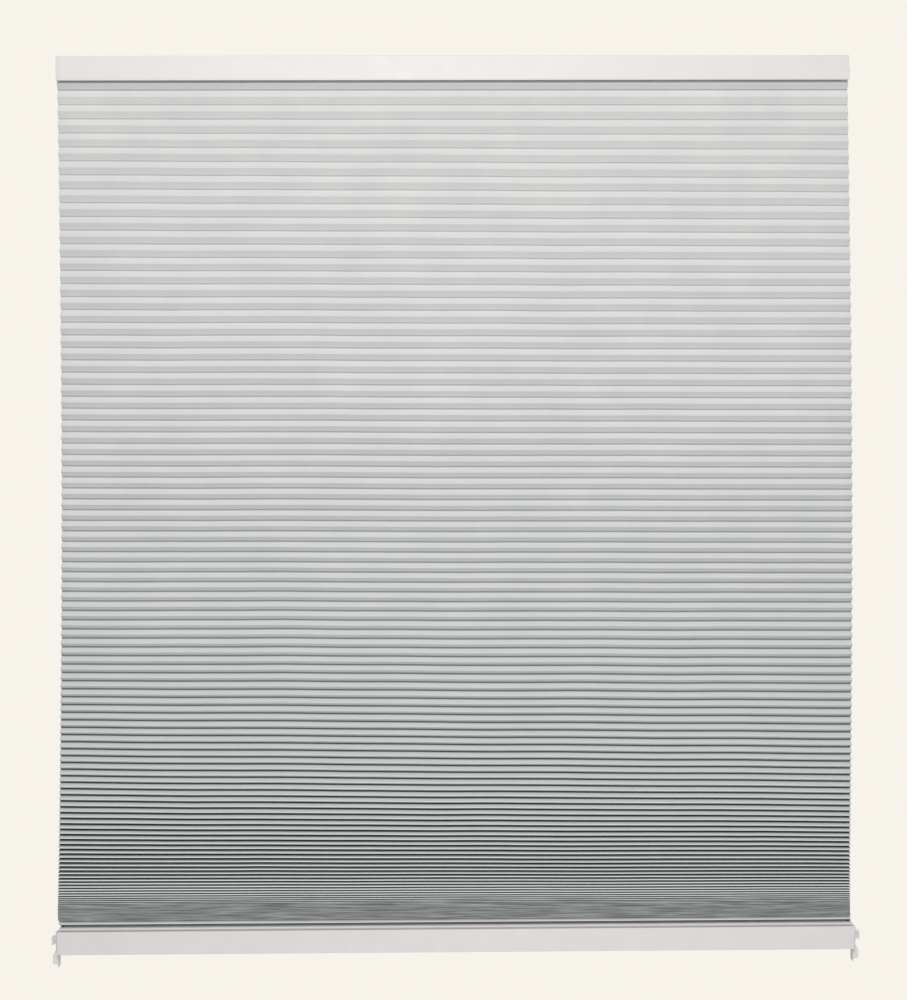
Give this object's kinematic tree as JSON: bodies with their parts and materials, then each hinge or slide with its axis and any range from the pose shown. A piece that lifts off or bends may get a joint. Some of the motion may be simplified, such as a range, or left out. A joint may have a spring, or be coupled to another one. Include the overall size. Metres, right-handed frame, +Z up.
{
  "type": "pleated blind",
  "caption": "Honeycomb pleated blind with an aluminium head rail, cordless spring lift, weighted bottom rail and side clips.",
  "frame": {"origin": "midway between the two wall screws, on the wall plane that the brackets' back legs lie on", "axes": "+X to the right seen from the room, +Y towards the wall, +Z up"},
  "size_m": [1.0272, 0.0395, 1.1532],
  "materials": {
    "rail_white": "satin white powder coat",
    "white_plastic": "fine moulded satin",
    "cell_cloth": "matt non-woven polyester",
    "spring_steel": "zinc-plated",
    "cord_white": "braided polyester cord"
  },
  "bodies": {
    "head": {"head_rail": "rail_white", "head_end_cap_left": "white_plastic", "head_end_cap_right": "white_plastic", "mounting_bracket_left": "spring_steel", "mounting_bracket_right": "spring_steel", "cloth_head_strip": "white_plastic", "honeycomb_cloth": "cell_cloth", "motor_base": "white_plastic", "motor_cover": "white_plastic", "cover_screws": "spring_steel", "flat_spring": "spring_steel", "cord_guide_left": "white_plastic", "cord_guide_right": "white_plastic", "guide_pin_left": "spring_steel", "guide_pin_right": "spring_steel", "lift_cord_left": "cord_white", "lift_cord_right": "cord_white"},
    "foot": {"bottom_rail": "rail_white", "bottom_end_cap_left": "white_plastic", "bottom_end_cap_right": "white_plastic", "cloth_foot_strip": "white_plastic", "ballast_bar": "spring_steel", "cord_anchor_left": "white_plastic", "cord_anchor_right": "white_plastic", "side_clip_left": "white_plastic", "side_clip_right": "white_plastic"},
    "spool_left": {"cord_spool_left": "white_plastic"},
    "spool_right": {"cord_spool_right": "white_plastic"},
    "output": {"output_drum": "white_plastic"},
    "idler": {"idler_gear": "white_plastic"},
    "storage": {"storage_drum": "white_plastic"},
    "roller_left": {"guide_roller_left": "white_plastic"},
    "roller_right": {"guide_roller_right": "white_plastic"}
  },
  "joints": [
    {"name": "lift", "type": "slide", "parent": "head", "child": "foot", "axis": [0, 0, 1], "range_m": [0, 0.91], "deforming": ["honeycomb_cloth", "lift_cord_left", "lift_cord_right"]},
    {"name": "spool_left_turn", "type": "hinge", "parent": "head", "child": "spool_left", "pos_m": [-0.042, -0.0205, 0], "axis": [0, 0, 1], "range_deg": [0, 4740]},
    {"name": "output_turn", "type": "hinge", "parent": "head", "child": "output", "pos_m": [-0.014, -0.0205, 0], "axis": [0, 0, 1], "range_deg": [-4740, 0]},
    {"name": "idler_turn", "type": "hinge", "parent": "head", "child": "idler", "pos_m": [0.014, -0.0205, 0], "axis": [0, 0, 1], "range_deg": [0, 4740]},
    {"name": "storage_turn", "type": "hinge", "parent": "head", "child": "storage", "pos_m": [0.014, -0.0205, 0], "axis": [0, 0, 1], "range_deg": [0, 4740]},
    {"name": "spool_right_turn", "type": "hinge", "parent": "head", "child": "spool_right", "pos_m": [0.042, -0.0205, 0], "axis": [0, 0, 1], "range_deg": [-4740, 0]},
    {"name": "roller_left_turn", "type": "hinge", "parent": "head", "child": "roller_left", "pos_m": [-0.29525, -0.0205, -0.00275], "axis": [0, 1, 0], "range_deg": [0, 10977]},
    {"name": "roller_right_turn", "type": "hinge", "parent": "head", "child": "roller_right", "pos_m": [0.29525, -0.0205, -0.00275], "axis": [0, 1, 0], "range_deg": [-10977, 0]}
  ],
  "couplings": [
    {"joint": "spool_left_turn", "follows": "lift", "rad_per_m": 90.909},
    {"joint": "output_turn", "follows": "lift", "rad_per_m": -90.909},
    {"joint": "idler_turn", "follows": "lift", "rad_per_m": 90.909},
    {"joint": "storage_turn", "follows": "lift", "rad_per_m": 90.909},
    {"joint": "spool_right_turn", "follows": "lift", "rad_per_m": -90.909},
    {"joint": "roller_left_turn", "follows": "lift", "rad_per_m": 210.53},
    {"joint": "roller_right_turn", "follows": "lift", "rad_per_m": -210.53}
  ]
}
